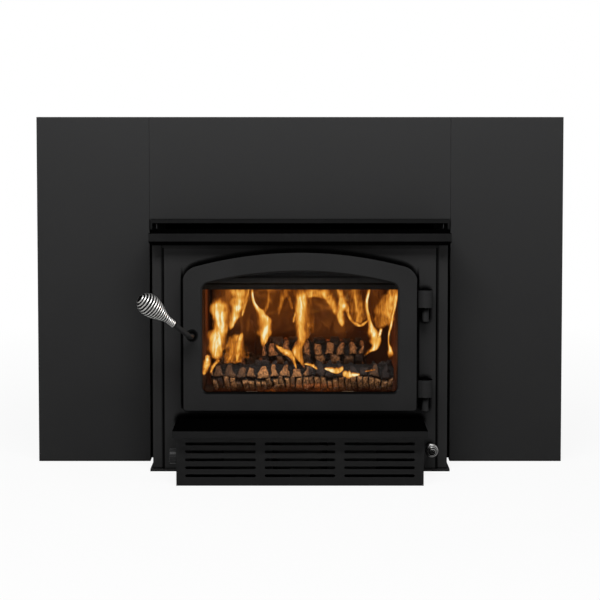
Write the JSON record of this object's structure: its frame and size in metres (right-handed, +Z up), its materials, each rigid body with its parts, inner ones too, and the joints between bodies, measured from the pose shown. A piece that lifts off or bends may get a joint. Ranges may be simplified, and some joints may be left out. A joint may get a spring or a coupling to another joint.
{
  "type": "fireplace insert",
  "caption": "Wood-burning fireplace insert: folded faceplate, arched glazed door with a wound-wire handle, ash lip, louvred blower, air control and flue collar.",
  "frame": {"origin": "on the hearth at the centre line, where the folded edges of the faceplate meet the wall", "axes": "+X to the viewer's right, +Y into the fireplace, +Z up; the door faces -Y"},
  "size_m": [1.1176, 0.648, 0.7366],
  "materials": {
    "sheet_paint": "matt black stove paint on folded sheet",
    "body_paint": "satin black stove paint",
    "cast_paint": "satin black stove paint on a fine casting",
    "galvanised": "galvanised sheet",
    "zinc_hardware": "zinc plated",
    "firebox_steel": "mill scale, heat darkened",
    "stainless": "stainless, heat tinted",
    "baffle_board": "pressed mineral board",
    "mineral_fibre": "glass and mineral fibre",
    "firebrick": "dry pressed firebrick, sooted",
    "ceramic_glass": "clear ceramic glass",
    "nickel_wire": "nickel plated wire",
    "black_plastic": "moulded",
    "black_rubber": "moulded",
    "blower_aluminium": "rolled",
    "charred_wood": "charred, cracked across the grain",
    "embers": "ash and glowing embers"
  },
  "bodies": {
    "root": {"air_duct": "firebox_steel", "air_risers": "firebox_steel", "air_tubes": "stainless", "ash_lip": "body_paint", "baffle_blanket": "mineral_fibre", "baffle_boards": "baffle_board", "base_plate": "body_paint", "blower_case": "body_paint", "blower_grille": "body_paint", "blower_motor": "zinc_hardware", "bricks_floor": "firebrick", "bricks_walls": "firebrick", "casing_back": "galvanised", "casing_left": "body_paint", "casing_lid": "galvanised", "casing_right": "body_paint", "cord_gland": "black_rubber", "ember_bed": "embers", "faceplate_bolts": "zinc_hardware", "faceplate_brackets": "galvanised", "faceplate_left": "sheet_paint", "faceplate_right": "sheet_paint", "faceplate_top": "sheet_paint", "fan_scrolls": "galvanised", "firebox_feet": "firebox_steel", "firebox_floor": "firebox_steel", "firebox_left": "firebox_steel", "firebox_rear": "firebox_steel", "firebox_right": "firebox_steel", "firebox_roof": "firebox_steel", "flue_collar": "cast_paint", "front_plate": "body_paint", "hinge_pins": "zinc_hardware", "hinge_posts": "body_paint", "latch_catch": "zinc_hardware", "log_front": "charred_wood", "logs_back": "charred_wood", "motor_saddle": "galvanised", "outlet_frame": "body_paint", "speed_control": "black_plastic", "thermal_switch": "zinc_hardware", "top_ledge": "body_paint", "tube_rails": "firebox_steel", "wash_deflector": "stainless"},
    "door": {"door_frame": "cast_paint", "door_glass": "ceramic_glass", "glass_tape": "mineral_fibre", "door_rope": "mineral_fibre", "glass_clips": "zinc_hardware", "clip_screws": "zinc_hardware", "handle_bushing": "cast_paint"},
    "handle": {"handle_rod": "body_paint", "handle_grip": "nickel_wire", "latch_cam": "zinc_hardware"},
    "air_slide": {"air_rod": "zinc_hardware", "air_knob": "nickel_wire", "air_damper": "firebox_steel"},
    "speed": {"speed_knob": "black_plastic"},
    "fan": {"fan_shaft": "zinc_hardware", "fan_wheels": "blower_aluminium"}
  },
  "joints": [
    {"name": "door_swing", "type": "hinge", "parent": "root", "child": "door", "pos_m": [0.258, -0.135, 0.271], "axis": [0, 0, 1], "range_deg": [0, 110]},
    {"name": "handle_turn", "type": "hinge", "parent": "door", "child": "handle", "pos_m": [-0.221, -0.153, 0.29], "axis": [0, 1, 0], "range_deg": [0, 75]},
    {"name": "air_control", "type": "slide", "parent": "root", "child": "air_slide", "axis": [0, -1, 0], "range_m": [0, 0.045]},
    {"name": "fan_speed", "type": "hinge", "parent": "root", "child": "speed", "pos_m": [-0.2475, -0.2, 0.0525], "axis": [-1, 0, 0], "range_deg": [0, 270]},
    {"name": "fan_spin", "type": "hinge", "parent": "root", "child": "fan", "pos_m": [0, -0.172, 0.052], "axis": [1, 0, 0], "continuous": true}
  ]
}
